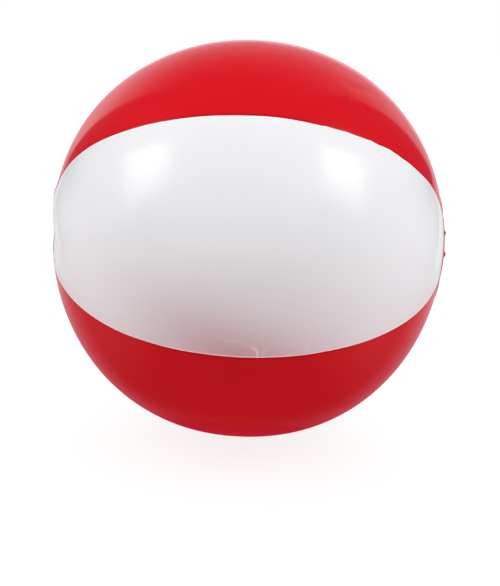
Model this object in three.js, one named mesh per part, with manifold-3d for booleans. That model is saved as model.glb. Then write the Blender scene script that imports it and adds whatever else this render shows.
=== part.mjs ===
// An inflated beach ball: six film panels in turn white and red, a film disc over each pole,
// and a push-in valve with a plug on a strap.
// Millimetres, +Z up. The ball lies on its side with its pole axis along X and the valve on +X.
// The origin is the centre of the flat patch that it rests on.
import * as THREE from "three";
import { mergeVertices } from "three/addons/utils/BufferGeometryUtils.js";
import Module from "manifold-3d";

// The inflated skin. Its outline is a superellipse, a little squarer than a circle.
const EQUATOR_RADIUS = 140;
const VALVE_POLE_REACH = 136.8;
const PLAIN_POLE_REACH = 137.5;
const OUTLINE_POWER = 2.08;
const FILM = 0.25;
const REST_SAG = 1.5;

// Panels. Their edges are turned inside and welded as fins, which draw the seams in.
const PANEL_COUNT = 6;
const FRONT_PANEL_RISE = THREE.MathUtils.degToRad(15);
const SEAM_DRAW = 1;
const SEAM_FIN = 4;

// End discs, lapped over the panels' ends.
const DISC_RADIUS = 43;
const DISC_LAP = 8;
const DISC_HOLE_RADIUS = 9.5;

// Valve base, a flange welded under the disc.
const BASE_RADIUS = 16;
const BASE_BORE_RADIUS = 8.6;
const BASE_THICKNESS = 1;
const BASE_EDGE = 0.4;

// Stem, pushed in as the ball is used. Its rise is from the disc's face to the rim.
const STEM_RADIUS = 5.2;
const STEM_BORE_RADIUS = 3.75;
const STEM_LENGTH = 9.2;
const STEM_RISE = 1.8;
const LIP_HEIGHT = 1.8;
const LIP_PROUD = 0.3;

// Cuff between base and stem, and the check flap under the stem.
const CUFF_WALL = 0.5;
const FLAP_THICKNESS = 0.4;
const FLAP_RIM = 0.3;
const FLAP_HINGE_RISE = 4.4;

// Plug: cap, hollow stopper and finger lug.
const CAP_OVERHANG = 0.3;
const CAP_THICKNESS = 1.3;
const CAP_CROWN = 0.2;
const CAP_CHAMFER = 0.3;
const STOPPER_LENGTH = 3.6;
const STOPPER_TAPER = 0.75;
const STOPPER_WALL = 0.8;
const LUG_WIDTH = 5;
const LUG_RADIUS = 2.8;
const LUG_PLACE = 4.5;

// Strap, a loop from the stem's lip round to the cap's edge.
const STRAP_WIDTH = 4;
const STRAP_THICKNESS = 0.9;
const STRAP_BEND_RADIUS = 1.45;
const STRAP_ARM = 5.4;
const STRAP_SWEEP = THREE.MathUtils.degToRad(192);

// Clearance between pieces that touch, and the fineness of the facets.
const GAP = 0.3;
const STEPS_ALONG_PANEL = 26;
const STEPS_ACROSS_PANEL = 12;
const DISC_STEPS = 40;
const ROUND_STEPS = 28;
const CURVE_STEPS = 8;

const WHITE_FILM = { color: 0xf0f0f2, roughness: 0.22, metalness: 0 };
const RED_FILM = { color: 0xd0141e, roughness: 0.2, metalness: 0 };
const RED_MOULDING = { color: 0xc4121b, roughness: 0.35, metalness: 0 };

const wasm = await Module();
wasm.setup();

const HALF_PANEL = Math.PI / PANEL_COUNT;

// How far the film is drawn in at an angle from its panel's middle.
const seamDraw = (angle) => SEAM_DRAW * (angle / HALF_PANEL) ** 2;

// The angle from straight down to the nearest panel's middle.
const { euclideanModulo, lerp, smoothstep } = THREE.MathUtils;
const downFromSeam = euclideanModulo(HALF_PANEL - FRONT_PANEL_RISE - Math.PI / 2, 2 * HALF_PANEL);
const downFromMiddle = downFromSeam - HALF_PANEL;
const centreHeight = EQUATOR_RADIUS - seamDraw(downFromMiddle) - REST_SAG;

// A mesh of one piece, with a material of its own.
function piece(name, geometry, finish) {
  const mesh = new THREE.Mesh(geometry, new THREE.MeshStandardMaterial(finish));
  mesh.name = name;
  return mesh;
}

// A body of revolution about Y from points of radius and height.
function revolve(points, steps) {
  return new THREE.LatheGeometry(points, steps);
}

const point = (radius, height) => new THREE.Vector2(radius, height);

// Evenly spaced numbers from first to last.
function spaced(first, last, steps) {
  return Array.from({ length: steps + 1 }, (_, step) => first + ((last - first) * step) / steps);
}

// The turn from the pole at which the outline is this far from the pole axis.
const turnAt = (radius) => Math.asin((radius / EQUATOR_RADIUS) ** (OUTLINE_POWER / 2));

// A point of the outline between a pole and the equator, as radius and height above the ball's
// centre. Inset moves it inwards along the outline's normal.
function outlinePoint(turn, reach, inset) {
  const out = Math.sin(turn) ** (2 / OUTLINE_POWER);
  const up = Math.abs(Math.cos(turn)) ** (2 / OUTLINE_POWER);
  const slope = OUTLINE_POWER - 1;
  const normal = point(out ** slope / EQUATOR_RADIUS, up ** slope / reach).normalize();
  return point(out * EQUATOR_RADIUS, up * reach).addScaledVector(normal, -inset);
}

// A point of the skin about the ball's centre. The turn runs from the valve pole to the plain
// one, and the angle goes round the pole axis from the front, up over the top. The film lies flat
// where the floor holds it.
function skinPoint(turn, middle, angle, inset) {
  const valveSide = turn < Math.PI / 2;
  const reach = valveSide ? VALVE_POLE_REACH : PLAIN_POLE_REACH;
  const { x: radius, y: height } = outlinePoint(turn, reach, inset + seamDraw(angle));
  const floor = inset - centreHeight;
  return new THREE.Vector3(
    valveSide ? height : -height,
    -radius * Math.cos(middle + angle),
    Math.max(radius * Math.sin(middle + angle), floor),
  );
}

// A closed solid through strip-shaped sections. Each section lists one side of the strip and then
// the other side backwards.
function loft(sections) {
  const size = sections[0].length;
  const faces = [];
  const quad = (a, b, c, d) => faces.push(a, b, c, a, c, d);
  for (let section = 1; section < sections.length; section++) {
    const end = section * size;
    const start = end - size;
    for (let i = 0; i < size; i++) {
      const next = (i + 1) % size;
      quad(start + i, start + next, end + next, end + i);
    }
  }
  const last = (sections.length - 1) * size;
  for (let i = 0; i < size / 2 - 1; i++) {
    const across = size - 1 - i;
    quad(i, across, across - 1, i + 1);
    quad(last + i, last + i + 1, last + across - 1, last + across);
  }
  const corners = sections.flat().flatMap((corner) => corner.toArray());
  const geometry = new THREE.BufferGeometry();
  geometry.setAttribute("position", new THREE.Float32BufferAttribute(corners, 3));
  geometry.setIndex(faces);
  geometry.computeVertexNormals();
  return geometry;
}

// One panel: a gore of film between the discs, with a weld fin turned in along each edge.
function panelGeometry(middle) {
  const firstTurn = turnAt(DISC_RADIUS - DISC_LAP);
  const sections = spaced(firstTurn, Math.PI - firstTurn, STEPS_ALONG_PANEL).map((turn) => {
    const film = (share, inset, clearance) => {
      const radius = outlinePoint(turn, EQUATOR_RADIUS, inset).x;
      const angle = share * (HALF_PANEL - clearance / radius);
      return skinPoint(turn, middle, angle, inset);
    };
    const side = (inset, clearance) => [
      film(-1, SEAM_FIN, clearance),
      ...spaced(-1, 1, STEPS_ACROSS_PANEL).map((share) => film(share, inset, clearance)),
      film(1, SEAM_FIN, clearance),
    ];
    return [...side(0, GAP / 2), ...side(FILM, GAP / 2 + FILM).reverse()];
  });
  return loft(sections);
}

// One end disc, which follows the panels under it.
function discGeometry(reach, holeRadius) {
  const turns = spaced(turnAt(holeRadius), turnAt(DISC_RADIUS), CURVE_STEPS / 2);
  const under = turns.map((turn) => outlinePoint(turn, reach, -GAP));
  const face = turns.map((turn) => outlinePoint(turn, reach, -GAP - FILM));
  const rim = [...under, ...face.reverse()];
  return revolve(holeRadius > 0 ? [...rim, under[0]] : rim, DISC_STEPS);
}

// The valve's heights are from the disc's face at the pole.
const valveFace = VALVE_POLE_REACH + GAP + FILM;
const stemFoot = STEM_RISE - STEM_LENGTH;
const lipRadius = STEM_RADIUS + LIP_PROUD;

// Valve base: a flange that thins towards its edge, where it is welded to the disc.
function baseGeometry() {
  const at = (radius, inset) => outlinePoint(turnAt(radius), VALVE_POLE_REACH, inset);
  const collar = (BASE_BORE_RADIUS + BASE_RADIUS) / 2;
  const profile = [
    at(BASE_BORE_RADIUS, BASE_THICKNESS),
    at(collar, BASE_THICKNESS),
    at(BASE_RADIUS, BASE_EDGE),
    at(BASE_RADIUS, 0),
    at(BASE_BORE_RADIUS, 0),
    at(BASE_BORE_RADIUS, BASE_THICKNESS),
  ];
  return revolve(profile, ROUND_STEPS).translate(0, -valveFace, 0);
}

// Cuff: a thin cone with an S-shaped wall, which turns itself out when the stem is pulled.
function cuffGeometry() {
  const top = -FILM - GAP - BASE_THICKNESS / 2;
  const foot = stemFoot + CUFF_WALL;
  const outRadius = BASE_BORE_RADIUS - GAP;
  const inRadius = STEM_RADIUS + GAP;
  const wall = (offset) =>
    spaced(0, 1, CURVE_STEPS).map((share) => {
      const ease = smoothstep(share, 0, 1);
      const radius = lerp(inRadius + offset, outRadius - CUFF_WALL + offset, ease);
      return point(radius, lerp(foot, top, share));
    });
  const inner = wall(0);
  return revolve([...wall(CUFF_WALL), ...inner.reverse(), wall(CUFF_WALL)[0]], ROUND_STEPS);
}

// Stem: a tube with a lip at its mouth.
function stemGeometry() {
  const lipFoot = STEM_RISE - LIP_HEIGHT;
  const profile = [
    point(STEM_BORE_RADIUS, stemFoot),
    point(STEM_RADIUS, stemFoot),
    point(STEM_RADIUS, lipFoot - LIP_PROUD),
    point(lipRadius, lipFoot),
    point(lipRadius, STEM_RISE - CAP_CHAMFER),
    point(lipRadius - CAP_CHAMFER, STEM_RISE),
    point(STEM_BORE_RADIUS, STEM_RISE),
    point(STEM_BORE_RADIUS, stemFoot),
  ];
  return revolve(profile, ROUND_STEPS);
}

// Flap: a round leaf with one straight edge, along which it hangs from the stem.
function flapGeometry() {
  const radius = STEM_RADIUS - FLAP_RIM;
  const corner = Math.asin(FLAP_HINGE_RISE / radius);
  const leaf = new THREE.Shape().absarc(0, 0, radius, Math.PI - corner, corner, false);
  const options = { depth: FLAP_THICKNESS, bevelEnabled: false, curveSegments: ROUND_STEPS };
  return new THREE.ExtrudeGeometry(leaf, options).rotateX(Math.PI / 2).translate(0, stemFoot - GAP, 0);
}

// A piece cut from its side view and extruded across. The side view is in height above the pole
// axis and distance out from the disc's face.
function cutAcross(sideView, width) {
  const options = { depth: width, bevelEnabled: false, curveSegments: 2 * CURVE_STEPS };
  return new THREE.ExtrudeGeometry(sideView, options).translate(0, 0, -width / 2).rotateY(-Math.PI / 2);
}

// Plug: the cap on the stem's rim, a hollow tapered stopper in its bore, and a half-round lug that
// overhangs the cap's edge for a fingertip.
const capRadius = lipRadius + CAP_OVERHANG;
const capUnder = STEM_RISE + GAP;
const capTop = capUnder + CAP_THICKNESS;

function plugBodyGeometry() {
  const stopperRadius = STEM_BORE_RADIUS - GAP;
  const tipRadius = stopperRadius - STOPPER_TAPER;
  const tip = capUnder - STOPPER_LENGTH;
  const profile = [
    point(0, capUnder),
    point(tipRadius - STOPPER_WALL, capUnder),
    point(tipRadius - STOPPER_WALL, tip),
    point(tipRadius, tip),
    point(stopperRadius, capUnder),
    point(capRadius, capUnder),
    point(capRadius, capTop - CAP_CHAMFER),
    point(capRadius - CAP_CHAMFER, capTop),
    point(0, capTop + CAP_CROWN),
  ];
  return revolve(profile, ROUND_STEPS);
}

function lugGeometry() {
  const seat = capUnder + CAP_THICKNESS / 2;
  const sideView = new THREE.Shape().absarc(-LUG_PLACE, seat, LUG_RADIUS, 0, Math.PI, false);
  return cutAcross(sideView, LUG_WIDTH);
}

// A closed geometry as a solid that can be joined to another.
function solid(geometry) {
  const bare = new THREE.BufferGeometry().setAttribute("position", geometry.getAttribute("position"));
  bare.setIndex(geometry.getIndex());
  const merged = mergeVertices(bare);
  const vertProperties = merged.getAttribute("position").array;
  const triVerts = merged.getIndex().array;
  return new wasm.Manifold(new wasm.Mesh({ numProp: 3, vertProperties, triVerts }));
}

function plugGeometry() {
  const joined = solid(plugBodyGeometry()).add(solid(lugGeometry())).getMesh();
  const geometry = new THREE.BufferGeometry();
  geometry.setAttribute("position", new THREE.BufferAttribute(joined.vertProperties, 3));
  geometry.setIndex(new THREE.BufferAttribute(joined.triVerts, 1));
  geometry.computeVertexNormals();
  return geometry;
}

// Strap: an arm off the stem's lip, a round bend, and a leg back down to the cap's edge.
function strapGeometry() {
  const root = lipRadius + GAP;
  const centre = { place: root + STRAP_ARM, height: STEM_RISE - LIP_HEIGHT / 2 + STRAP_BEND_RADIUS };
  const outer = STRAP_BEND_RADIUS + STRAP_THICKNESS / 2;
  const inner = STRAP_BEND_RADIUS - STRAP_THICKNESS / 2;
  const first = -Math.PI / 2;
  const last = first + STRAP_SWEEP;
  const onCap = (radius) => {
    const place = capRadius + GAP;
    const onBend = centre.place + radius * Math.cos(last);
    const fall = (onBend - place) * Math.tan(last - Math.PI / 2);
    return [place, centre.height + radius * Math.sin(last) - fall];
  };
  const sideView = new THREE.Shape()
    .moveTo(root, centre.height - outer)
    .lineTo(centre.place, centre.height - outer)
    .absarc(centre.place, centre.height, outer, first, last, false)
    .lineTo(...onCap(outer))
    .lineTo(...onCap(inner))
    .absarc(centre.place, centre.height, inner, last, first, true)
    .lineTo(root, centre.height - inner);
  return cutAcross(sideView, STRAP_WIDTH);
}

const panelNames = [
  "white_panel_front",
  "red_panel_top",
  "white_panel_rear",
  "red_panel_rear",
  "white_panel_base",
  "red_panel_front",
];

// The pole ends are modelled standing up and then laid along X.
const valve = new THREE.Group();
valve.position.y = valveFace;
valve.add(
  piece("valve_base", baseGeometry(), RED_MOULDING),
  piece("valve_cuff", cuffGeometry(), RED_MOULDING),
  piece("valve_stem", stemGeometry(), RED_MOULDING),
  piece("valve_flap", flapGeometry(), RED_MOULDING),
  piece("plug", plugGeometry(), RED_MOULDING),
  piece("plug_strap", strapGeometry(), RED_MOULDING),
);

const valveEnd = new THREE.Group();
valveEnd.rotation.z = -Math.PI / 2;
valveEnd.add(piece("end_disc_valve", discGeometry(VALVE_POLE_REACH, DISC_HOLE_RADIUS), RED_FILM), valve);

const plainEnd = new THREE.Group();
plainEnd.rotation.z = Math.PI / 2;
plainEnd.add(piece("end_disc_plain", discGeometry(PLAIN_POLE_REACH, 0), RED_FILM));

const skin = new THREE.Group();
panelNames.forEach((name, place) => {
  const middle = FRONT_PANEL_RISE + 2 * HALF_PANEL * place;
  skin.add(piece(name, panelGeometry(middle), place % 2 ? RED_FILM : WHITE_FILM));
});
skin.add(valveEnd, plainEnd);
skin.position.z = centreHeight;

const beachBall = new THREE.Group();
beachBall.add(skin);

export default beachBall;
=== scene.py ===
"""A beach ball: six welded film panels, a film disc over each pole, and a push-in valve with a plug on a strap.

Metres, +Z up. The ball lies on its side with its pole axis along X and the valve on +X. The origin is the middle
of the flat patch that it rests on.
"""

import math

import bmesh
import bpy
import numpy as np
from mathutils import Matrix, Vector


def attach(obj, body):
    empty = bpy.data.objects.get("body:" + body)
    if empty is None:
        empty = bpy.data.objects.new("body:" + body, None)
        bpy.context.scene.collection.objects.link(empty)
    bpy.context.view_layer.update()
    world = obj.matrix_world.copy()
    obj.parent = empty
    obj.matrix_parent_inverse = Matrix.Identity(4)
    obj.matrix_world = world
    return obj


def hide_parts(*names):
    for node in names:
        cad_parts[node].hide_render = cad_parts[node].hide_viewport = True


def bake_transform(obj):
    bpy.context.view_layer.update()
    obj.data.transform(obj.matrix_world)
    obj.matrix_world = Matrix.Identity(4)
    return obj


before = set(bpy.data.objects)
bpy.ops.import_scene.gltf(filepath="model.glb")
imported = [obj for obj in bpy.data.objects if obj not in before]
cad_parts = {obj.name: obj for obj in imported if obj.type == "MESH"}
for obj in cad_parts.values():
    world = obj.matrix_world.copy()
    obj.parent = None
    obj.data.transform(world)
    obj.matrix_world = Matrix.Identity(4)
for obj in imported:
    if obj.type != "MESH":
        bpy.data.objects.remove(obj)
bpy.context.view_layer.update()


# White film panels. Three gores of soft PVC film a quarter of a millimetre thick, in turn with three red ones. Each
# long edge is turned inside and heat-welded to the next panel as a fin, so that air crowns the panel and rolls its
# edges into the seams, where the weld gathers it. The foot of the front panel has painted rosy shade in its
# colour.
MM = 0.001
EQUATOR_RADIUS = 140.0
VALVE_POLE_REACH = 136.8
PLAIN_POLE_REACH = 137.5
OUTLINE_POWER = 2.08
CENTRE_HEIGHT = 138.25
REST_EASE = 0.3
VALVE_END_LEAN = 0.011
PLAIN_END_LEAN = 0.029
# Patches of the ends: height, then middle and width up the ball, then the same towards the back.
VALVE_END_SWELL = (0.6, (8, 36), (-36, 14))
PLAIN_END_DENT = (2.0, (6.6, 11.5), (-30, 45))
PLAIN_END_SHOULDER = (1.2, (32, 6), (-30, 30))
END_PATCH_START = 95.0
END_PATCH_RUN = 35.0
FILM = 0.25
PANEL_COUNT = 6
HALF_PANEL = math.pi / PANEL_COUNT
FRONT_PANEL_RISE = math.radians(15)
PANEL_END_RADIUS = 35.0
DISC_RADIUS = 43.0
PLAIN_DISC_SETBACK = 6.0
DISC_WELD_SPREAD = 2.2
SEAM_DRAW = 1.0
SEAM_ROLL = 0.5
SEAM_FIN = 4.0
SEAM_CLEARANCE = 0.03
SEAM_SHIFT_REACH = 9.0
# Seams by number from the one over the front panel. Wander: height, waves along the ball and start. Bends: height,
# place along the ball and width.
SEAM_WANDER = ((0.12, 0.061, 2.1), (0.07, 0.173, 0.9))
SEAM_OFFSET = {5: -0.65}
SEAM_END_PULL = {0: 1.5, 5: -0.5}
SEAM_BENDS = {
    0: (
        (2.1, -106, 24),
        (-0.5, 40, 12),
        (1.1, 92, 20),
        (2.1, -125, 14),
        (1.6, 118, 8),
        (3.0, -131, 6),
        (0.3, 45, 1.8),
        (0.35, 57, 1.8),
        (0.4, 72, 1.8),
        (-0.3, 77.5, 1.8),
        (0.45, 85, 1.8),
        (-0.35, 94, 1.8),
    ),
    5: ((0.4, 62, 34), (-0.8, -126, 8)),
}
# Creases by panel: the edge they start from, points as place along the ball and distance from the seam, width,
# height, and how far the crease takes the weld line's colour, a painted highlight on white film and painted shade
# on red.
CREASES = {
    0: (
        (-1, ((10.8, 0), (10.6, 3.8), (9.6, 5.8), (7.6, 7)), 0.55, 0.22, 0.85),
        (-1, ((7.6, 7), (4.2, 9), (0.6, 10.4)), 0.7, 0.14, 0.22),
        (-1, ((-0.5, 10.9), (-8, 11)), 0.7, 0.2, 0.3),
        (-1, ((13.4, 1), (14.6, 4.4)), 1.1, 0.3, 0.25),
        (-1, ((38.2, 3), (39, 6)), 0.8, 0.3, 0.35),
        (-1, ((-72.5, 8.2), (-71.5, 7)), 1.2, 0.14, 0),
        (1, ((-63, 43), (-58.5, 44.2)), 1.1, -0.12, 0.15),
    ),
    1: (
        (-1, ((57, 30), (59.5, 40), (63.7, 51)), 1.5, 0.14, 0),
        (-1, ((60.5, 31), (62, 40), (66, 50)), 1.3, -0.13, 0),
        (-1, ((60, 45), (67, 45), (76, 48)), 4.0, -0.3, 0),
        (-1, ((67.3, 28.5), (69.5, 25.5), (72.5, 21.6)), 1.0, -0.12, 0.3),
        (-1, ((-105, 3), (-105.5, 9)), 1.5, 0.1, 0),
    ),
}
# Puckers along the seams: limits of the random draws.
PUCKER_SEED = 40
PUCKERS_TO = 122.0
PUCKER_PITCH = 9.0
PUCKER_STRAY = (-4, 4)
PUCKER_WIDTH = (1.6, 4)
PUCKER_REACH = (3, 8)
PUCKER_HEIGHT = (-0.05, 0.04)
PUCKER_LEAN = (-0.3, 0.3)
BROAD_WAVER = 0.1
CLOSE_WAVER = 0.012
ROWS_TO_MIDDLE = 0.3
COLUMNS_TO_SEAM = 0.88
COLUMN_POWER = 2.5
WELD_LINE_EDGE = 0.7
WELD_LINE_END = 1.3
OFF_ANY_WELD = 10.0
# Painted rosy shade for the foot of the front panel: its colour is multiplied by this there.
PAINTED_ROSY_SHADE = (0.8, 0.59, 0.6)
PAINTED_ROSY_SHADE_PLACE = 1.0
PAINTED_ROSY_SHADE_SPREAD = 37.0
PAINTED_ROSY_SHADE_REACH = 60.0
PAINTED_ROSY_SHADE_LEAN = 1.0
WHITE = (0.83, 0.83, 0.845)
WHITE_SHADE = (0.82, 0.818, 0.834)
# Paler than the film: the weld line on white film is partly a real weld line and partly a painted highlight.
WHITE_WELD_AND_HIGHLIGHT = (0.97, 1.0, 1.0)
# The film's face. Noises: scale and detail.
PVC_IOR = 1.5
FILM_SPECULAR = 0.15
FILM_COAT_ROUGHNESS = 0.06
FILM_CLOUDS = (14, 3)
FILM_CLOUD_SPAN = (0.35, 0.65)
FILM_SCUFFS = (55, 4)
FILM_SCUFF_SPAN = (0.3, 0.75)
FILM_ROUGHNESS = (0.34, 0.42)
FILM_MOTTLE = (420, 2)
FILM_MOTTLE_STRENGTH = 0.25
FILM_MOTTLE_DEPTH = 0.00002


def turn_at(radius):
    """The turn from a pole at which the outline is this far from the pole axis."""
    return np.arcsin((radius / EQUATOR_RADIUS) ** (OUTLINE_POWER / 2))


def outline(turn, reach, inset):
    """Radius and height of the ball's outline, moved inwards along its normal."""
    out = np.sin(turn) ** (2 / OUTLINE_POWER)
    up = np.abs(np.cos(turn)) ** (2 / OUTLINE_POWER)
    across = out ** (OUTLINE_POWER - 1) / EQUATOR_RADIUS
    along = up ** (OUTLINE_POWER - 1) / reach
    length = np.hypot(across, along)
    return out * EQUATOR_RADIUS - inset * across / length, up * reach - inset * along / length


def bell(value, middle, width):
    """A smooth bump that is 1 at its middle."""
    return np.exp(-(((value - middle) / width) ** 2))


def end_patch(patch, rise, depth):
    """The height of a patch of an end."""
    height, up, back = patch
    return height * bell(rise, *up) * bell(depth, *back)


def skin(turn, angle, inset):
    """Points of the skin in millimetres. The turn runs from the valve pole to the plain one, and the angle goes
    round the pole axis from the front, up over the top. The ends lean a little, the plain one is pressed in by its
    disc, and the floor holds the film up where the ball rests."""
    valve_side = turn < math.pi / 2
    reach = np.where(valve_side, VALVE_POLE_REACH, PLAIN_POLE_REACH)
    radius, height = outline(turn, reach, inset)
    depth, rise = -radius * np.cos(angle), radius * np.sin(angle)
    end = (height / EQUATOR_RADIUS) ** 2
    near_pole = np.clip((height - END_PATCH_START) / END_PATCH_RUN, 0, 1) ** 2
    swell = near_pole * end_patch(VALVE_END_SWELL, rise, depth)
    dent = near_pole * (end_patch(PLAIN_END_DENT, rise, depth) - end_patch(PLAIN_END_SHOULDER, rise, depth))
    valve_end = height + swell + VALVE_END_LEAN * end * rise
    along = np.where(valve_side, valve_end, dent - height - PLAIN_END_LEAN * end * rise)
    free = CENTRE_HEIGHT + rise
    return np.column_stack((along, depth, (free + np.hypot(free, REST_EASE)) / 2))


def seam_shift(seam, along):
    """How far a seam wanders round the ball, in millimetres. The one over the front panel is kinked near the valve."""
    shift = SEAM_OFFSET.get(seam, 0) + SEAM_END_PULL.get(seam, 0) * (along / EQUATOR_RADIUS) ** 8
    for height, waves, start in SEAM_WANDER:
        shift = shift + height * np.sin(waves * along + start * seam)
    for height, middle, width in SEAM_BENDS.get(seam, ()):
        shift = shift + height * bell(along, middle, width)
    return shift


def seam_puckers(seam):
    """Small gathers across a seam: place along the ball, width, reach from the seam, height and lean."""
    draws = np.random.default_rng(PUCKER_SEED + seam)
    for place in np.arange(-PUCKERS_TO, PUCKERS_TO, PUCKER_PITCH):
        place = place + draws.uniform(*PUCKER_STRAY)
        width, reach = draws.uniform(*PUCKER_WIDTH), draws.uniform(*PUCKER_REACH)
        height, lean = draws.uniform(*PUCKER_HEIGHT), draws.uniform(*PUCKER_LEAN)
        yield place, width, reach, height, lean


def beside(along, distance, path, width):
    """How near points of a panel are to a crease, from 0 to 1."""
    nearest = np.full(len(along), np.inf)
    for (start, low), (end, high) in zip(path, path[1:]):
        run, rise = end - start, high - low
        share = np.clip(((along - start) * run + (distance - low) * rise) / (run**2 + rise**2), 0, 1)
        nearest = np.minimum(nearest, np.hypot(along - start - share * run, distance - low - share * rise))
    return bell(nearest, 0, width)


def painted_rosy_shade(along, seam_distance):
    """How much painted rosy shade the front panel's lower half takes, from 0 to 1."""
    leant = along + PAINTED_ROSY_SHADE_LEAN * seam_distance
    return np.clip(1 - seam_distance / PAINTED_ROSY_SHADE_REACH, 0, 1) ** 2 * bell(leant, PAINTED_ROSY_SHADE_PLACE, PAINTED_ROSY_SHADE_SPREAD)


def film_waver(points):
    """Slow unevenness of the blown film, in millimetres outwards."""
    x, y, z = points.T
    broad = np.sin(0.043 * x + 0.9 * np.sin(0.031 * y)) * np.sin(0.037 * z + 0.7 * np.sin(0.029 * x))
    close = np.sin(0.103 * x + 0.067 * y) * np.sin(0.089 * z - 0.059 * x)
    return BROAD_WAVER * broad + CLOSE_WAVER * close


def panel(name, node, place, rows, columns):
    """One gore, from a flat grid whose long edges are turned in as fins."""
    gore = bmesh.new()
    bmesh.ops.create_grid(gore, x_segments=rows, y_segments=columns, size=1)
    for side in (-1, 1):
        edge = [e for e in gore.edges if all(side * v.co.y > 0.9999 for v in e.verts)]
        fin = bmesh.ops.extrude_edge_only(gore, edges=edge)["geom"]
        bmesh.ops.translate(gore, verts=[v for v in fin if isinstance(v, bmesh.types.BMVert)], vec=(0, side, 0))
    mesh = bpy.data.meshes.new(name)
    gore.to_mesh(mesh)
    gore.free()

    flat = np.empty(3 * len(mesh.vertices))
    mesh.vertices.foreach_get("co", flat)
    lengthwise, crosswise = flat.reshape(-1, 3).T[:2]
    first = turn_at(PANEL_END_RADIUS)
    row = (1 - ROWS_TO_MIDDLE) * lengthwise + ROWS_TO_MIDDLE * lengthwise**3
    turn = math.pi / 2 - row * (math.pi / 2 - first)
    side = np.sign(crosswise)
    from_seam = 1 - np.minimum(np.abs(crosswise), 1)
    fin_share = np.maximum(np.abs(crosswise) - 1, 0)
    radius = outline(turn, EQUATOR_RADIUS, 0)[0]
    column = (1 - COLUMNS_TO_SEAM) * from_seam + COLUMNS_TO_SEAM * from_seam**COLUMN_POWER
    seam_distance = column * HALF_PANEL * radius
    angle = side * (HALF_PANEL - (seam_distance + SEAM_CLEARANCE) / radius)
    middle = FRONT_PANEL_RISE + 2 * HALF_PANEL * place

    draw = SEAM_DRAW * radius / EQUATOR_RADIUS
    smooth = skin(turn, middle + angle, draw * (angle / HALF_PANEL) ** 2)
    along = smooth[:, 0]
    relief = film_waver(smooth)
    for edge, seam in ((1, place), (-1, (place - 1) % PANEL_COUNT)):
        near = side == edge
        angle = angle + near * seam_shift(seam, along) * np.exp(-seam_distance / SEAM_SHIFT_REACH) / radius
        for at, width, reach, height, lean in seam_puckers(seam):
            off = (along - at - lean * seam_distance) / width
            relief = relief + near * height * np.exp(-(off**2) - (seam_distance / reach) ** 2)
    bent = np.zeros(len(along))
    for edge, path, width, height, painted_crease_line in CREASES.get(place, ()):
        near = (side == edge) * beside(along, seam_distance, path, width)
        relief = relief + height * near
        bent = np.maximum(bent, painted_crease_line * near)
    rolled = np.clip(1 - seam_distance / SEAM_ROLL, 0, 1)
    roll = SEAM_ROLL * (1 - np.sqrt(1 - rolled**2))
    inset = draw * (angle / HALF_PANEL) ** 2 + roll + fin_share * (SEAM_FIN - SEAM_ROLL) - relief
    points = skin(turn, middle + angle, inset)
    mesh.vertices.foreach_set("co", (points * MM).ravel())
    setback = np.where(turn < math.pi / 2, 0, PLAIN_DISC_SETBACK)
    across, up = radius * np.cos(middle + angle), radius * np.sin(middle + angle)
    off_disc = (np.hypot(across + setback, up) - DISC_RADIUS) / DISC_WELD_SPREAD
    off_weld = np.minimum(seam_distance, np.where(off_disc > 0, off_disc, OFF_ANY_WELD))
    # Creases take the weld line's colour: painted highlight on white film, painted shade on red.
    off_weld = np.minimum(off_weld, WELD_LINE_END - (WELD_LINE_END - WELD_LINE_EDGE) * bent)
    welded = mesh.attributes.new("weld_distance", "FLOAT", "POINT")
    welded.data.foreach_set("value", off_weld)
    # Where the front panel's colour gets painted rosy shade.
    if place == 0:
        painted_rosy_shading = mesh.attributes.new("painted_rosy_shade", "FLOAT", "POINT")
        painted_rosy_shading.data.foreach_set("value", (side < 0) * painted_rosy_shade(along, seam_distance))
    mesh.shade_smooth()
    mesh.update()
    if mesh.polygons[0].normal.dot(mesh.polygons[0].center - Vector((0, 0, CENTRE_HEIGHT * MM))) < 0:
        mesh.flip_normals()

    piece = bpy.data.objects.new(name, mesh)
    bpy.context.collection.objects.link(piece)
    wall = piece.modifiers.new("film", "SOLIDIFY")
    wall.thickness = FILM * MM
    wall.offset = -1
    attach(piece, "ball")
    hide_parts(node)
    return piece


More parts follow.
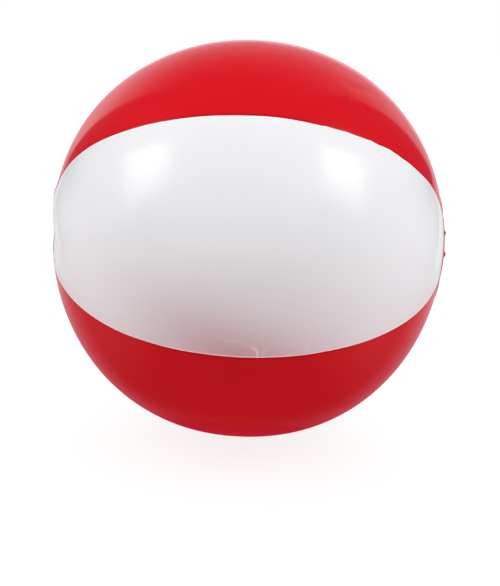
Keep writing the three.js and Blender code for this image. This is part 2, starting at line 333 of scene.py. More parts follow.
def film_finish(name, colour, shade, weld):
    """Glossy calendered film: faint clouding, a fine mottled face, light handling scuffs, a thin line along the
    weld that is paler on white film and partly a painted highlight, and painted rosy shade where the panel
    carries it."""
    finish = bpy.data.materials.new(name)
    finish.use_nodes = True
    nodes, links = finish.node_tree.nodes, finish.node_tree.links
    film = nodes["Principled BSDF"]
    film.inputs["IOR"].default_value = PVC_IOR
    film.inputs["Specular IOR Level"].default_value = FILM_SPECULAR
    film.inputs["Coat Weight"].default_value = 1
    film.inputs["Coat Roughness"].default_value = FILM_COAT_ROUGHNESS
    film.inputs["Coat IOR"].default_value = PVC_IOR
    place = nodes.new("ShaderNodeTexCoord")

    def noise(scale, detail):
        cloud = nodes.new("ShaderNodeTexNoise")
        cloud.inputs["Scale"].default_value = scale
        cloud.inputs["Detail"].default_value = detail
        links.new(place.outputs["Object"], cloud.inputs["Vector"])
        return cloud.outputs["Fac"]

    def ranged(source, low, high, to_low, to_high):
        span = nodes.new("ShaderNodeMapRange")
        span.inputs["From Min"].default_value = low
        span.inputs["From Max"].default_value = high
        span.inputs["To Min"].default_value = to_low
        span.inputs["To Max"].default_value = to_high
        links.new(source, span.inputs["Value"])
        return span.outputs["Result"]

    clouding = nodes.new("ShaderNodeMix")
    clouding.data_type = "RGBA"
    clouding.inputs["A"].default_value = (*colour, 1)
    clouding.inputs["B"].default_value = (*shade, 1)
    links.new(ranged(noise(*FILM_CLOUDS), *FILM_CLOUD_SPAN, 0, 1), clouding.inputs["Factor"])
    # Painted rosy shade, multiplied into the colour where a panel carries it.
    rosy_shade_mask = nodes.new("ShaderNodeAttribute")
    rosy_shade_mask.attribute_name = "painted_rosy_shade"
    painted_rosy_shading = nodes.new("ShaderNodeMix")
    painted_rosy_shading.data_type = "RGBA"
    painted_rosy_shading.blend_type = "MULTIPLY"
    painted_rosy_shading.inputs["B"].default_value = (*PAINTED_ROSY_SHADE, 1)
    links.new(clouding.outputs["Result"], painted_rosy_shading.inputs["A"])
    links.new(rosy_shade_mask.outputs["Fac"], painted_rosy_shading.inputs["Factor"])
    seam = nodes.new("ShaderNodeAttribute")
    seam.attribute_name = "weld_distance"
    weld_line_and_highlight = nodes.new("ShaderNodeMix")
    weld_line_and_highlight.data_type = "RGBA"
    weld_line_and_highlight.inputs["B"].default_value = (*weld, 1)
    links.new(painted_rosy_shading.outputs["Result"], weld_line_and_highlight.inputs["A"])
    links.new(ranged(seam.outputs["Fac"], WELD_LINE_EDGE, WELD_LINE_END, 1, 0), weld_line_and_highlight.inputs["Factor"])
    links.new(weld_line_and_highlight.outputs["Result"], film.inputs["Base Color"])

    links.new(ranged(noise(*FILM_SCUFFS), *FILM_SCUFF_SPAN, *FILM_ROUGHNESS), film.inputs["Roughness"])
    mottle = nodes.new("ShaderNodeBump")
    mottle.inputs["Strength"].default_value = FILM_MOTTLE_STRENGTH
    mottle.inputs["Distance"].default_value = FILM_MOTTLE_DEPTH
    links.new(noise(*FILM_MOTTLE), mottle.inputs["Height"])
    links.new(mottle.outputs["Normal"], film.inputs["Normal"])
    return finish


white_film = film_finish("white_film", WHITE, WHITE_SHADE, WHITE_WELD_AND_HIGHLIGHT)
for name, node, place, rows, columns in (
    ("white_film_front", "white_panel_front", 0, 520, 88),
    ("white_film_rear", "white_panel_rear", 2, 300, 88),
    ("white_film_base", "white_panel_base", 4, 300, 88),
):
    white_panel = panel(name, node, place, rows, columns)
    white_panel.data.materials.append(white_film)


# Red film panels. The same gore cut from red film, dyed through, and welded between the white ones. A red sheen on
# the film is painted rim light: it makes the rims a clear, bright red.
RED = (0.65, 0.008, 0.014)
RED_SHADE = (0.62, 0.0075, 0.013)
# Darker than the film: a weld line at the seams, and painted shade along the creases.
RED_WELD_AND_CREASE_SHADE = (0.56, 0.001, 0.003)
RED_RIM_SHEEN = (1, 0.02, 0.12)
RED_RIM_SHEEN_WEIGHT = 0.75
RED_RIM_SHEEN_ROUGHNESS = 0.3

red_film = film_finish("red_film", RED, RED_SHADE, RED_WELD_AND_CREASE_SHADE)
# Painted rim light: a red sheen that brightens the red film's rims.
painted_rim_sheen = red_film.node_tree.nodes["Principled BSDF"].inputs
painted_rim_sheen["Sheen Weight"].default_value = RED_RIM_SHEEN_WEIGHT
painted_rim_sheen["Sheen Roughness"].default_value = RED_RIM_SHEEN_ROUGHNESS
painted_rim_sheen["Sheen Tint"].default_value = (*RED_RIM_SHEEN, 1)
for name, node, place, rows, columns in (
    ("red_film_top", "red_panel_top", 1, 440, 104),
    ("red_film_rear", "red_panel_rear", 3, 300, 88),
    ("red_film_front", "red_panel_front", 5, 440, 104),
):
    red_panel = panel(name, node, place, rows, columns)
    red_panel.data.materials.append(red_film)


# End discs. Two rounds of red film heat-welded over the panels' ends, one at each pole, with the weld pressed in as
# a shallow ring. The panels' seams show as soft creases, and the film gathers a little inside the weld. The valve's
# disc has a punched hole, and a narrower ring where the valve base is welded under it.
DISC_HOLE_RADIUS = 9.5
DISC_WELD = (36.6, 41.4)
DISC_WELD_DEPTH = 0.05
BASE_WELD = (11.6, 14.6)
BASE_WELD_DEPTH = 0.1
WELD_RING_STEEPNESS = 6.0
WELD_RING_LINE = 0.5
DISC_LIFT = FILM + 0.12
DISC_SLACK_RADIUS = 14.0
DISC_SLACK_RUN = 20.0
DISC_CREASE = 0.2
DISC_CREASE_WIDTH = 2.2
# Gathers of a disc: limits of the random draws.
GATHER_SEED = 60
DISC_GATHERS = 26
GATHER_STRAY = (-0.09, 0.09)
GATHER_WIDTH = (1.5, 3.2)
GATHER_REACH = (3, 9)
GATHER_HEIGHT = (-0.09, 0.06)
GATHER_END = 1.2
# Rows of points from hole or pole to edge: radii and count.
DISC_INNER_ROWS = (16, 24)
DISC_SLACK_ROWS = (17, 34, 14)
DISC_WELD_ROWS = (34.4, DISC_RADIUS, 24)
DISC_STEPS = 288


def pressed_ring(radius, weld):
    """How far a ring-shaped weld is pressed in at a distance from its middle, from 0 to 1."""
    inner, outer = (1 / (1 + np.exp(WELD_RING_STEEPNESS * (edge - radius))) for edge in weld)
    return inner - outer


def disc_gathers(towards):
    """Small gathers inside a disc's weld: bearing, width, reach towards the pole and height."""
    draws = np.random.default_rng(GATHER_SEED + towards)
    for bearing in np.arange(0, 2 * math.pi, 2 * math.pi / DISC_GATHERS):
        bearing = bearing + draws.uniform(*GATHER_STRAY)
        width, reach = draws.uniform(*GATHER_WIDTH), draws.uniform(*GATHER_REACH)
        yield bearing, width, reach, draws.uniform(*GATHER_HEIGHT)


def end_disc(name, node, towards, hole_radius, setback):
    """One disc, spun from a row of points and laid over the panels. The points lie close together at the welds."""
    disc = bmesh.new()
    radii = np.concatenate(
        (np.linspace(hole_radius, *DISC_INNER_ROWS), np.linspace(*DISC_SLACK_ROWS), np.linspace(*DISC_WELD_ROWS))
    )
    thread = [disc.verts.new((0, 0, radius)) for radius in radii]
    links = [disc.edges.new(pair) for pair in zip(thread, thread[1:])]
    bmesh.ops.spin(
        disc,
        geom=thread + links,
        axis=(1, 0, 0),
        cent=(0, 0, 0),
        angle=2 * math.pi,
        steps=DISC_STEPS,
        use_merge=True,
    )
    bmesh.ops.remove_doubles(disc, verts=disc.verts, dist=1e-5)
    mesh = bpy.data.meshes.new(name)
    disc.to_mesh(mesh)
    disc.free()

    flat = np.empty(3 * len(mesh.vertices))
    mesh.vertices.foreach_get("co", flat)
    across, up = flat.reshape(-1, 3).T[1:]
    from_middle = np.hypot(across, up)
    radius, angle = np.hypot(across + setback, up), np.arctan2(up, -across - setback)
    turn = turn_at(radius) if towards > 0 else math.pi - turn_at(radius)
    off_middle = (angle - FRONT_PANEL_RISE + HALF_PANEL) % (2 * HALF_PANEL) - HALF_PANEL
    over_panels = np.clip((radius - DISC_SLACK_RADIUS) / DISC_SLACK_RUN, 0, 1) ** 2
    over_seam = bell((HALF_PANEL - np.abs(off_middle)) * radius, 0, DISC_CREASE_WIDTH)
    over_seam = over_seam / (1 + np.exp(PANEL_END_RADIUS - radius))
    draw = SEAM_DRAW * radius / EQUATOR_RADIUS
    drawn = draw * over_panels * (off_middle / HALF_PANEL) ** 2 + DISC_CREASE * over_seam
    drawn = drawn + DISC_WELD_DEPTH * pressed_ring(from_middle, DISC_WELD)
    off_ring = np.abs(from_middle - DISC_WELD[0])
    if hole_radius:
        drawn = drawn + BASE_WELD_DEPTH * pressed_ring(from_middle, BASE_WELD)
        for edge in BASE_WELD:
            off_ring = np.minimum(off_ring, np.abs(from_middle - edge))
    inside = DISC_WELD[0] - from_middle
    for bearing, width, reach, height in disc_gathers(towards):
        aside = ((np.arctan2(up, -across) - bearing + math.pi) % (2 * math.pi) - math.pi) * from_middle
        drawn = drawn - height * bell(aside, 0, width) * bell(inside, 0, np.where(inside > 0, reach, GATHER_END))
    points = skin(turn, angle, drawn - DISC_LIFT - film_waver(skin(turn, angle, drawn)))
    mesh.vertices.foreach_set("co", (points * MM).ravel())
    mesh.shade_smooth()
    mesh.update()
    if mesh.polygons[0].normal.x * towards < 0:
        mesh.flip_normals()
    welded = mesh.attributes.new("weld_distance", "FLOAT", "POINT")
    welded.data.foreach_set("value", off_ring + WELD_RING_LINE)

    piece = bpy.data.objects.new(name, mesh)
    bpy.context.collection.objects.link(piece)
    wall = piece.modifiers.new("film", "SOLIDIFY")
    wall.thickness = FILM * MM
    wall.offset = -1
    piece.data.materials.append(red_film)
    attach(piece, "ball")
    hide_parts(node)


end_disc("valve_disc", "end_disc_valve", 1, DISC_HOLE_RADIUS, 0)
end_disc("plain_disc", "end_disc_plain", -1, 0, PLAIN_DISC_SETBACK)


# Valve base. A flange of moulded PVC welded under the disc round its hole, thinner towards its edge.
# Heights on the valve are from the disc's face at the pole.
GAP = 0.3
VALVE_FACE = VALVE_POLE_REACH + FILM + GAP
MOULDING = (0.6, 0.004, 0.009)
MOULDING_SHADE = (0.54, 0.0035, 0.007)
MOULDING_SPECULAR = 0.2
MOULDING_COAT = 0.08
MOULDING_COAT_ROUGHNESS = 0.15
MOULDING_FLOW = (180, 3)
MOULDING_ROUGHNESS = (0.28, 0.46)
MOULDING_GRAIN = (3200, 2)
MOULDING_GRAIN_STRENGTH = 0.3
MOULDING_GRAIN_DEPTH = 0.00003
SMOOTH_UP_TO = math.radians(50)
ROUND_STEPS = 96


def turned(profile, corner, closed=True):
    """A moulding spun about the pole axis from points of radius and height, with its corners rounded."""
    moulding = bmesh.new()
    ring = [moulding.verts.new(((VALVE_FACE + height) * MM, 0, radius * MM)) for radius, height in profile]
    moulding.faces.new(ring)
    rounded = ring if closed else ring[1:-1]
    bmesh.ops.bevel(
        moulding,
        geom=rounded,
        offset=corner * MM,
        offset_type="OFFSET",
        segments=3,
        profile=0.5,
        affect="VERTICES",
        material=-1,
    )
    bmesh.ops.delete(moulding, geom=moulding.faces[:], context="FACES_ONLY")
    on_axis = [e for e in moulding.edges if all(abs(v.co.z) < 1e-9 for v in e.verts)]
    bmesh.ops.delete(moulding, geom=on_axis, context="EDGES")
    bmesh.ops.spin(
        moulding,
        geom=moulding.verts[:] + moulding.edges[:],
        axis=(1, 0, 0),
        cent=(0, 0, 0),
        angle=2 * math.pi,
        steps=ROUND_STEPS,
        use_merge=True,
    )
    bmesh.ops.remove_doubles(moulding, verts=moulding.verts, dist=1e-7)
    bmesh.ops.recalc_face_normals(moulding, faces=moulding.faces)
    bmesh.ops.translate(moulding, verts=moulding.verts, vec=(0, 0, CENTRE_HEIGHT * MM))
    return moulding


def moulding_finish(name, colour, shade):
    """Moulded soft PVC: satin gloss, faint flow clouding and a finely spark-textured face."""
    finish = bpy.data.materials.new(name)
    finish.use_nodes = True
    nodes, links = finish.node_tree.nodes, finish.node_tree.links
    moulding = nodes["Principled BSDF"]
    moulding.inputs["IOR"].default_value = PVC_IOR
    moulding.inputs["Specular IOR Level"].default_value = MOULDING_SPECULAR
    moulding.inputs["Coat Weight"].default_value = MOULDING_COAT
    moulding.inputs["Coat Roughness"].default_value = MOULDING_COAT_ROUGHNESS
    place = nodes.new("ShaderNodeTexCoord")
    flow = nodes.new("ShaderNodeTexNoise")
    flow.inputs["Scale"].default_value, flow.inputs["Detail"].default_value = MOULDING_FLOW
    links.new(place.outputs["Object"], flow.inputs["Vector"])
    clouding = nodes.new("ShaderNodeMix")
    clouding.data_type = "RGBA"
    clouding.inputs["A"].default_value = (*colour, 1)
    clouding.inputs["B"].default_value = (*shade, 1)
    links.new(flow.outputs["Fac"], clouding.inputs["Factor"])
    links.new(clouding.outputs["Result"], moulding.inputs["Base Color"])
    gloss = nodes.new("ShaderNodeMapRange")
    gloss.inputs["To Min"].default_value, gloss.inputs["To Max"].default_value = MOULDING_ROUGHNESS
    links.new(flow.outputs["Fac"], gloss.inputs["Value"])
    links.new(gloss.outputs["Result"], moulding.inputs["Roughness"])
    grain = nodes.new("ShaderNodeTexNoise")
    grain.inputs["Scale"].default_value, grain.inputs["Detail"].default_value = MOULDING_GRAIN
    links.new(place.outputs["Object"], grain.inputs["Vector"])
    sparked = nodes.new("ShaderNodeBump")
    sparked.inputs["Strength"].default_value = MOULDING_GRAIN_STRENGTH
    sparked.inputs["Distance"].default_value = MOULDING_GRAIN_DEPTH
    links.new(grain.outputs["Fac"], sparked.inputs["Height"])
    links.new(sparked.outputs["Normal"], moulding.inputs["Normal"])
    return finish


red_moulding = moulding_finish("red_moulding", MOULDING, MOULDING_SHADE)


def moulded(name, node, moulding):
    """A finished valve piece in the red moulding, standing for its solid."""
    mesh = bpy.data.meshes.new(name)
    moulding.to_mesh(mesh)
    moulding.free()
    mesh.set_sharp_from_angle(angle=SMOOTH_UP_TO)
    mesh.shade_smooth()
    piece = bpy.data.objects.new(name, mesh)
    bpy.context.collection.objects.link(piece)
    piece.data.materials.append(red_moulding)
    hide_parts(node)
    return piece


BASE_RADIUS = 16.0
BASE_BORE_RADIUS = 8.6
BASE_THICKNESS = 1.0
BASE_EDGE = 0.4


def under_disc(radius, inset):
    """A point of the base's profile, which follows the curve of the disc."""
    across, along = outline(turn_at(radius), VALVE_POLE_REACH, inset)
    return float(across), float(along) - VALVE_FACE


base = moulded(
    "valve_flange",
    "valve_base",
    turned(
        [
            under_disc(BASE_BORE_RADIUS, BASE_THICKNESS),
            under_disc((BASE_BORE_RADIUS + BASE_RADIUS) / 2, BASE_THICKNESS),
            under_disc(BASE_RADIUS, BASE_EDGE),
            under_disc(BASE_RADIUS, 0),
            under_disc(BASE_BORE_RADIUS, 0),
        ],
        corner=0.15,
    ),
)
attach(base, "ball")


# Cuff. The thin wall of the moulding between base and stem, S-shaped in section while the stem is pushed in.
# It turns itself out as the stem is pulled, so it is held by the base at its top and by the stem at its foot.
STEM_FOOT = -7.4
STEM_RADIUS = 5.2
CUFF_TOP = -1.05
CUFF_FOOT = STEM_FOOT + 0.5
CUFF_WALL = 0.5
CUFF_SPAN = 2.3
CUFF_POINTS = 25
shares = np.linspace(0, 1, CUFF_POINTS)
inner_radii = STEM_RADIUS + GAP + CUFF_SPAN * shares**2 * (3 - 2 * shares)
heights = CUFF_FOOT + (CUFF_TOP - CUFF_FOOT) * shares
inner_wall = list(zip(inner_radii, heights))
outer_wall = list(zip(inner_radii + CUFF_WALL, heights))
cuff = moulded("valve_cuff_wall", "valve_cuff", turned(inner_wall + outer_wall[::-1], corner=0.02))
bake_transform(cuff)


# Stem. The valve's mouthpiece, a short thick tube with a rolled lip, pushed in flush while the ball is used.
STEM_BORE_RADIUS = 3.75
STEM_RISE = 1.8
LIP_RADIUS = 5.5
LIP_SLOPE = 0.3
stem = moulded(
    "valve_mouthpiece",
    "valve_stem",
    turned(
        [
            (STEM_BORE_RADIUS, STEM_FOOT),
            (STEM_RADIUS, STEM_FOOT),
            (STEM_RADIUS, -LIP_SLOPE),
            (LIP_RADIUS, 0),
            (LIP_RADIUS, STEM_RISE),
            (STEM_BORE_RADIUS, STEM_RISE),
        ],
        corner=0.28,
    ),
)
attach(stem, "valve")


# Check flap. A soft leaf moulded onto the stem's foot along one straight edge, which the air inside holds shut.
FLAP_RADIUS = 4.9
FLAP_HINGE_RISE = 4.4
FLAP_FACE = STEM_FOOT - GAP
FLAP_THICKNESS = 0.4
SHARP_EDGE = 1.0


def draw_out(shape, faces, way):
    """Extrudes faces along a way in millimetres, and returns what is new."""
    new = bmesh.ops.extrude_face_region(shape, geom=faces)["geom"]
    moved = [v for v in new if isinstance(v, bmesh.types.BMVert)]
    bmesh.ops.translate(shape, verts=moved, vec=[step * MM for step in way])
    return new


def soften(shape, corner, segments):
    """Rounds the sharp edges of a moulded shape."""
    bmesh.ops.recalc_face_normals(shape, faces=shape.faces)
    sharp = [e for e in shape.edges if len(e.link_faces) == 2 and e.calc_face_angle() > SHARP_EDGE]
    bmesh.ops.bevel(
        shape,
        geom=sharp,
        offset=corner * MM,
        segments=segments,
        profile=0.5,
        affect="EDGES",
        material=-1,
    )


leaf = bmesh.new()
bmesh.ops.create_circle(leaf, cap_ends=True, radius=FLAP_RADIUS * MM, segments=64)
bmesh.ops.bisect_plane(
    leaf,
    geom=leaf.verts[:] + leaf.edges[:] + leaf.faces[:],
    plane_co=(0, FLAP_HINGE_RISE * MM, 0),
    plane_no=(0, 1, 0),
    clear_outer=True,
)
draw_out(leaf, leaf.faces[:], (0, 0, -FLAP_THICKNESS))
soften(leaf, corner=0.1, segments=2)
to_stem = Matrix(((0, 0, 1, 0), (1, 0, 0, 0), (0, 1, 0, 0), (0, 0, 0, 1)))
bmesh.ops.transform(leaf, matrix=to_stem, verts=leaf.verts)
bmesh.ops.translate(leaf, verts=leaf.verts, vec=((VALVE_FACE + FLAP_FACE) * MM, 0, CENTRE_HEIGHT * MM))
flap = moulded("valve_leaf", "valve_flap", leaf)
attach(flap, "flap")


# Plug. A round cap with a hollow tapered stopper that is pressed into the stem, and a half-round lug for a
# fingertip, all one moulding.
CAP_RADIUS = 5.8
CAP_UNDER = 2.1
CAP_TOP = 3.4
CAP_CROWN = 0.2
CAP_SHOULDER_RUN = 1.4
CAP_SHOULDER_RISE = 0.12
STOPPER_RADIUS = 3.45
STOPPER_TIP_RADIUS = 2.7
STOPPER_TIP = -1.5
STOPPER_WALL = 0.8
LUG_SEAT = 2.75
LUG_PLACE = 4.5
LUG_RADIUS = 2.8
LUG_WIDTH = 5.0

lug = bmesh.new()
bmesh.ops.create_circle(lug, cap_ends=True, radius=LUG_RADIUS * MM, segments=64)
bmesh.ops.bisect_plane(
    lug,
    geom=lug.verts[:] + lug.edges[:] + lug.faces[:],
    plane_co=(0, 0, 0),
    plane_no=(1, 0, 0),
    clear_inner=True,
)
draw_out(lug, lug.faces[:], (0, 0, LUG_WIDTH))
soften(lug, corner=0.35, segments=3)
to_cap = Matrix(((1, 0, 0, 0), (0, 0, 1, 0), (0, 1, 0, 0), (0, 0, 0, 1)))
bmesh.ops.transform(lug, matrix=to_cap, verts=lug.verts)
lug_corner = ((VALVE_FACE + LUG_SEAT) * MM, -LUG_WIDTH / 2 * MM, (CENTRE_HEIGHT - LUG_PLACE) * MM)
bmesh.ops.translate(lug, verts=lug.verts, vec=lug_corner)
bmesh.ops.recalc_face_normals(lug, faces=lug.faces)
lug_mesh = bpy.data.meshes.new("plug_lug")
lug.to_mesh(lug_mesh)
lug.free()

cap = turned(
    [
        (0, CAP_UNDER),
        (STOPPER_TIP_RADIUS - STOPPER_WALL, CAP_UNDER),
        (STOPPER_TIP_RADIUS - STOPPER_WALL, STOPPER_TIP),
        (STOPPER_TIP_RADIUS, STOPPER_TIP),
        (STOPPER_RADIUS, CAP_UNDER),
        (CAP_RADIUS, CAP_UNDER),
        (CAP_RADIUS, CAP_TOP),
        (CAP_RADIUS - CAP_SHOULDER_RUN, CAP_TOP + CAP_SHOULDER_RISE),
        (0, CAP_TOP + CAP_CROWN),
    ],
    corner=0.25,
    closed=False,
)
cap.from_mesh(lug_mesh)
bpy.data.meshes.remove(lug_mesh)
plug = moulded("valve_plug", "plug", cap)
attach(plug, "plug")


# Strap. A flat strip of the same moulding that keeps the plug on the stem: an arm off the lip, a round bend and
# a leg back down to the cap's edge. It folds at the outermost part of the bend as the plug is lifted off.
STRAP_WIDTH = 4.0
STRAP_THICKNESS = 0.9
STRAP_ROOT = 5.6
STRAP_BEND_PLACE = 11.2
STRAP_BEND_HEIGHT = 2.35
STRAP_BEND_RADIUS = 1.45
STRAP_SWEEP = math.radians(192)
STRAP_LEG = 5.05
STRAP_BEND_STEPS = 40

strip = bmesh.new()
arm_foot = STRAP_BEND_HEIGHT - STRAP_BEND_RADIUS - STRAP_THICKNESS / 2
arm_top = arm_foot + STRAP_THICKNESS
strap_end = strip.faces.new(
    [
        strip.verts.new(
            ((VALVE_FACE + height) * MM, across * STRAP_WIDTH / 2 * MM, (CENTRE_HEIGHT + STRAP_ROOT) * MM)
        )
        for height, across in ((arm_foot, -1), (arm_top, -1), (arm_top, 1), (arm_foot, 1))
    ]
)


def strap_on(face, way):
    """Draws the strap's end face on and returns the new one."""
    new = draw_out(strip, [face], way)
    bmesh.ops.delete(strip, geom=[face], context="FACES_ONLY")
    return next(f for f in new if isinstance(f, bmesh.types.BMFace))


strap_end = strap_on(strap_end, (0, 0, STRAP_BEND_PLACE - STRAP_ROOT))
bent = bmesh.ops.spin(
    strip,
    geom=[strap_end],
    axis=(0, 1, 0),
    cent=((VALVE_FACE + STRAP_BEND_HEIGHT) * MM, 0, (CENTRE_HEIGHT + STRAP_BEND_PLACE) * MM),
    angle=STRAP_SWEEP,
    steps=STRAP_BEND_STEPS,
)["geom_last"]
strap_end = next(f for f in bent if isinstance(f, bmesh.types.BMFace))
lean = STRAP_SWEEP - math.pi
strap_on(strap_end, (-STRAP_LEG * math.sin(lean), 0, -STRAP_LEG * math.cos(lean)))
bmesh.ops.holes_fill(strip, edges=strip.edges, sides=4)
soften(strip, corner=0.22, segments=2)
strap = moulded("plug_tether", "plug_strap", strip)
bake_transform(strap)


# Studio. A white floor under wide even domes of light, and a square softbox at each side, hotter in its middle and
# with a soft spill, which the film mirrors as two highlights. The ball is lit by a floor that is white at the sides
# and rosy in front. It mirrors a painted shadow, dark red, round its foot, a table's edges and a white sweep.
BALL_CENTRE = Vector((0, 0, CENTRE_HEIGHT * MM))
DARK = (0, 0, 0, 1)
FLOOR_SIZE = 20.0
FLOOR_SHOWN = (0.8, 0.8, 0.8, 1)
FLOOR_SHOWN_GLOW = 1.12
FLOOR_GLOW_SHARE = 0.74
FLOOR_SIDES = (1.2, 1.2, 1.24, 1)
FLOOR_SIDES_SPAN = (0.08, 0.22)
FLOOR_FRONT_EDGE = 0.1
FLOOR_FRONT_SPLAY = 0.3
FLOOR_ROSY = (1.0, 0.25, 0.3, 1)
FLOOR_ROSY_MIDDLE = (0, -0.14, 0)
FLOOR_ROSY_REACH = 0.25
# Painted shadow of the ball, tinted red, on the floor that the film mirrors, and where it fades out.
MIRRORED_SHADOW = (0.3, 0.02, 0.022, 1)
MIRRORED_FAR = (0.8, 0.8, 0.8, 1)
MIRRORED_SPAN = (-0.105, 0.215)
MIRRORED_SPLAY = 0.3
FOOT_SHADOW_MIDDLE = (0, -0.04, 0)
FOOT_SHADOW_GROWTH = 1.2
FOOT_SHADOW_RADIUS = 0.159
TABLE = (0.85, 0.85, 0.85, 1)
OFF_TABLE = (0.4, 0.4, 0.4, 1)
TABLE_EDGE = 0.75
TABLE_SPLAY = 2.0
TABLE_BLUR = 0.02

floor_mesh = bpy.data.meshes.new("floor")
plane = bmesh.new()
bmesh.ops.create_grid(plane, x_segments=1, y_segments=1, size=FLOOR_SIZE)
plane.to_mesh(floor_mesh)
plane.free()
floor = bpy.data.objects.new("floor", floor_mesh)
bpy.context.collection.objects.link(floor)
pale = bpy.data.materials.new("pale_floor")
pale.use_nodes = True
nodes, links = pale.node_tree.nodes, pale.node_tree.links
surface = nodes["Principled BSDF"]
surface.inputs["Roughness"].default_value = 0.9
surface.inputs["Specular IOR Level"].default_value = 0.1
surface.inputs["Base Color"].default_value = FLOOR_SHOWN
pale.cycles.emission_sampling = "NONE"
ray = nodes.new("ShaderNodeLightPath")
place = nodes.new("ShaderNodeTexCoord").outputs["Object"]
spot = nodes.new("ShaderNodeSeparateXYZ")
links.new(place, spot.inputs["Vector"])


def worked(operation, first, second):
    """One step of sums on a place or a direction."""
    step = nodes.new("ShaderNodeMath")
    step.operation = operation
    for socket, value in zip(step.inputs, (first, second)):
        if isinstance(value, (int, float)):
            socket.default_value = value
        else:
            links.new(value, socket)
    return step.outputs[0]


def distance_from(point):
    """How far a place on the floor is from a point."""
    length = nodes.new("ShaderNodeVectorMath")
    length.operation = "DISTANCE"
    length.inputs[1].default_value = point
    links.new(place, length.inputs[0])
    return length.outputs["Value"]


def eased(value, span, low, high, way="SMOOTHSTEP"):
    """A level that goes from low to high over a span of a value."""
    level = nodes.new("ShaderNodeMapRange")
    level.interpolation_type = way
    level.inputs["From Min"].default_value, level.inputs["From Max"].default_value = span
    level.inputs["To Min"].default_value = low
    level.inputs["To Max"].default_value = high
    links.new(value, level.inputs["Value"])
    return level.outputs["Result"]


def changing(value, span, near, beyond, way="SMOOTHSTEP"):
    """A floor tone that changes over a span of a value."""
    tone = nodes.new("ShaderNodeMix")
    tone.data_type = "RGBA"
    tone.inputs["A"].default_value = near
    tone.inputs["B"].default_value = beyond
    links.new(eased(value, span, 0, 1, way), tone.inputs["Factor"])
    return tone.outputs["Result"]


def mixed(blend, share, first, second):
    """Two floor tones together."""
    tone = nodes.new("ShaderNodeMix")
    tone.data_type = "RGBA"
    tone.blend_type = blend
    tone.clamp_factor = False
    tone.inputs["Factor"].default_value = 1
    if share:
        links.new(share, tone.inputs["Factor"])
    links.new(first, tone.inputs["A"])
    links.new(second, tone.inputs["B"])
    return tone.outputs["Result"]


aside = worked("ABSOLUTE", spot.outputs["X"], 0)
in_front = worked("MINIMUM", worked("ADD", spot.outputs["Y"], FLOOR_FRONT_EDGE), 0)
off_middle = worked("ADD", aside, worked("MULTIPLY", in_front, FLOOR_FRONT_SPLAY))
sides = changing(off_middle, FLOOR_SIDES_SPAN, DARK, FLOOR_SIDES)
rosy = changing(distance_from(FLOOR_ROSY_MIDDLE), (0, FLOOR_ROSY_REACH), FLOOR_ROSY, DARK)
lighting = mixed("ADD", None, sides, rosy)

# What the film mirrors of the floor: painted shadow, dark red, round the ball's foot and in front of it, paling
# behind.
behind = worked("SUBTRACT", spot.outputs["Y"], worked("MULTIPLY", aside, MIRRORED_SPLAY))
off_foot_shadow = worked("SUBTRACT", worked("MULTIPLY", distance_from(FOOT_SHADOW_MIDDLE), FOOT_SHADOW_GROWTH), FOOT_SHADOW_RADIUS)
off_shadow = worked("MINIMUM", behind, off_foot_shadow)
shadowed_ground = changing(off_shadow, MIRRORED_SPAN, MIRRORED_SHADOW, MIRRORED_FAR, "LINEAR")
splayed = worked("SUBTRACT", worked("MULTIPLY", aside, TABLE_SPLAY), spot.outputs["Y"])
off_table = worked("SUBTRACT", splayed, TABLE_EDGE)
table = changing(off_table, (-TABLE_BLUR, TABLE_BLUR), TABLE, OFF_TABLE)
mirrored = mixed("MULTIPLY", None, shadowed_ground, table)

unseen = nodes.new("ShaderNodeEmission")
links.new(mixed("MIX", ray.outputs["Is Glossy Ray"], lighting, mirrored), unseen.inputs["Color"])
shown = nodes.new("ShaderNodeEmission")
shown.inputs["Strength"].default_value = FLOOR_SHOWN_GLOW
seen = nodes.new("ShaderNodeMixShader")
seen.inputs["Fac"].default_value = FLOOR_GLOW_SHARE
links.new(surface.outputs["BSDF"], seen.inputs[1])
links.new(shown.outputs["Emission"], seen.inputs[2])
lit = nodes.new("ShaderNodeMixShader")
links.new(ray.outputs["Is Camera Ray"], lit.inputs["Fac"])
links.new(unseen.outputs["Emission"], lit.inputs[1])
links.new(seen.outputs["Shader"], lit.inputs[2])
links.new(lit.outputs["Shader"], nodes["Material Output"].inputs["Surface"])
floor_mesh.materials.append(pale)

DOMES = (
    ("dome", (0, 0.35, 0.94), 1.75, 110),
    ("fill_right", (1, -0.2, 0.33), 1.15, 70),
    ("fill_left", (-1, -0.12, 0.33), 1.0, 70),
    ("fill_front", (0, -1, 0.8), 1.12, 140),
    ("fill_back", (0, 0.9, 0.3), 0.9, 110),
)
SOFTBOX_WAYS = (("right", (0.7, -0.335, 0.645)), ("left", (-0.755, -0.315, 0.59)))
SOFTBOX_REACH = 1.2
SOFTBOX_TURN = math.pi / 4
SOFTBOX_SIZE = 0.52
SOFTBOX_WATTS = 1.2
CORE_SIZE = 0.38
CORE_WATTS = 0.38
CORE_RISE = 0.06
SPILL_SIZE = 0.72
SPILL_WATTS = 0.9
LAYER_GAP = 0.02


def lamp(name, shape, size, watts, way, reach, turn):
    """A flat lamp that faces the ball, unseen by the camera."""
    light = bpy.data.lights.new(name, "AREA")
    light.shape = shape
    light.size = size
    light.energy = watts
    box = bpy.data.objects.new(name, light)
    way = Vector(way).normalized()
    aimed = way.to_track_quat("Z", "Y").to_matrix().to_4x4()
    box.matrix_world = Matrix.Translation(BALL_CENTRE + way * reach) @ aimed @ Matrix.Rotation(turn, 4, "Z")
    box.visible_camera = False
    bpy.context.collection.objects.link(box)
    return box


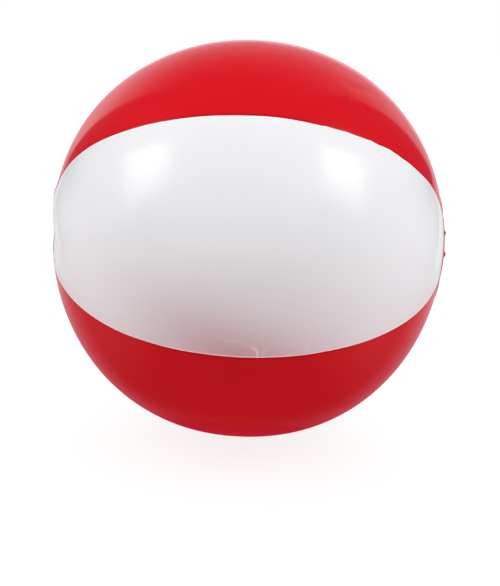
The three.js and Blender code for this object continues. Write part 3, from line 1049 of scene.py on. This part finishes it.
for name, way, strength, spread in DOMES:
    light = bpy.data.lights.new(name, "SUN")
    light.energy = strength
    light.angle = math.radians(spread)
    light.cycles.use_multiple_importance_sampling = False
    dome = bpy.data.objects.new(name, light)
    dome.rotation_euler = Vector(way).to_track_quat("Z", "Y").to_euler()
    dome.visible_camera = False
    dome.visible_glossy = False
    bpy.context.collection.objects.link(dome)
for side, way in SOFTBOX_WAYS:
    lamp("softbox_" + side, "SQUARE", SOFTBOX_SIZE, SOFTBOX_WATTS, way, SOFTBOX_REACH, SOFTBOX_TURN)
    core_way = Vector(way) + Vector((0, 0, CORE_RISE))
    lamp("softbox_core_" + side, "DISK", CORE_SIZE, CORE_WATTS, core_way, SOFTBOX_REACH - LAYER_GAP, 0)
    spill_reach = SOFTBOX_REACH + LAYER_GAP
    spill = lamp("softbox_spill_" + side, "SQUARE", SPILL_SIZE, SPILL_WATTS, way, spill_reach, SOFTBOX_TURN)
    spill.visible_diffuse = False

SWEEP_OFFSET = 0.025
SWEEP_HALF_WIDTH = 0.535
SWEEP_SPLAY = 0.55
SWEEP_SPLAY_EASE = 0.8
SWEEP_BLUR = 0.015
SWEEP_OUTSIDE = 0.03
SWEEP_LEVEL = 0.59
SWEEP_SIDE_GAIN = 0.7
SWEEP_TILT = 0.35
SWEEP_FALL = 1.02
SWEEP_FALL_TILT = 0.4
SWEEP_DARKEST = 0.03
SWEEP_BRIGHTEST = 0.72
BACKDROP_SPAN = (0.945, 0.985)
BACKDROP_GLOW = 0.45
BACKDROP_CURVE = 0.25

world = bpy.data.worlds.new("studio")
bpy.context.scene.world = world
world.use_nodes = True
nodes, links = world.node_tree.nodes, world.node_tree.links
nodes.clear()
ray = nodes.new("ShaderNodeLightPath")
way = nodes.new("ShaderNodeSeparateXYZ")
links.new(nodes.new("ShaderNodeTexCoord").outputs["Generated"], way.inputs["Vector"])
sideways = worked("ABSOLUTE", worked("ADD", way.outputs["X"], SWEEP_OFFSET), 0)
sideways_squared = worked("MULTIPLY", sideways, sideways)
rise = way.outputs["Z"]
splay = worked("SUBTRACT", SWEEP_SPLAY, worked("MULTIPLY", rise, SWEEP_SPLAY_EASE))
edge = worked("ADD", worked("MULTIPLY", splay, rise), SWEEP_HALF_WIDTH)
in_sweep = eased(worked("SUBTRACT", sideways, edge), (-SWEEP_BLUR, SWEEP_BLUR), 1, SWEEP_OUTSIDE)
across_sweep = worked("ADD", worked("MULTIPLY", sideways_squared, SWEEP_SIDE_GAIN), SWEEP_LEVEL)
tilt = worked("SUBTRACT", 1, worked("MULTIPLY", way.outputs["X"], SWEEP_TILT))
across_sweep = worked("MULTIPLY", across_sweep, tilt)
fall_tilt = worked("MULTIPLY", worked("MINIMUM", way.outputs["X"], 0), SWEEP_FALL_TILT)
fall = worked("SUBTRACT", SWEEP_FALL, fall_tilt)
up_sweep = worked("MINIMUM", worked("SUBTRACT", 1, worked("MULTIPLY", rise, fall)), SWEEP_BRIGHTEST)
up_sweep = worked("MAXIMUM", up_sweep, SWEEP_DARKEST)
backwards = worked("ADD", way.outputs["Y"], worked("MULTIPLY", sideways_squared, BACKDROP_CURVE))
backdrop = eased(backwards, BACKDROP_SPAN, 0, BACKDROP_GLOW)
sweep = worked("ADD", worked("MULTIPLY", across_sweep, up_sweep), backdrop)
sweep = worked("MULTIPLY", sweep, in_sweep)
level = nodes.new("ShaderNodeMix")
direct = worked("MAXIMUM", ray.outputs["Is Camera Ray"], ray.outputs["Is Transmission Ray"])
links.new(direct, level.inputs["Factor"])
links.new(sweep, level.inputs["A"])
level.inputs["B"].default_value = 1
surround = nodes.new("ShaderNodeBackground")
surround.inputs["Color"].default_value = (1, 1, 1, 1)
links.new(level.outputs["Result"], surround.inputs["Strength"])
links.new(surround.outputs["Background"], nodes.new("ShaderNodeOutputWorld").inputs["Surface"])


# Camera, as in the photograph: level with the middle of the front panel, a little towards the valve and tilted.
CAMERA_REACH = 0.58
CAMERA_AZIMUTH = math.radians(1.12)
CAMERA_RISE = math.radians(14.32)
CAMERA_ROLL = math.radians(2.4)
CAMERA_LENS = 49.11
CAMERA_SHIFT = (0.0033, -0.0931)
CAMERA_CLIP = 0.01
lens = bpy.data.cameras.new("camera")
lens.lens = CAMERA_LENS
lens.shift_x, lens.shift_y = CAMERA_SHIFT
lens.clip_start = CAMERA_CLIP
camera = bpy.data.objects.new("camera", lens)
from_ball = Vector(
    (
        math.sin(CAMERA_AZIMUTH) * math.cos(CAMERA_RISE),
        -math.cos(CAMERA_AZIMUTH) * math.cos(CAMERA_RISE),
        math.sin(CAMERA_RISE),
    )
)
aimed = from_ball.to_track_quat("Z", "Y").to_matrix().to_4x4()
camera.matrix_world = (
    Matrix.Translation(BALL_CENTRE + from_ball * CAMERA_REACH) @ aimed @ Matrix.Rotation(CAMERA_ROLL, 4, "Z")
)
bpy.context.collection.objects.link(camera)
bpy.context.scene.camera = camera
bpy.context.scene.view_settings.view_transform = "Standard"
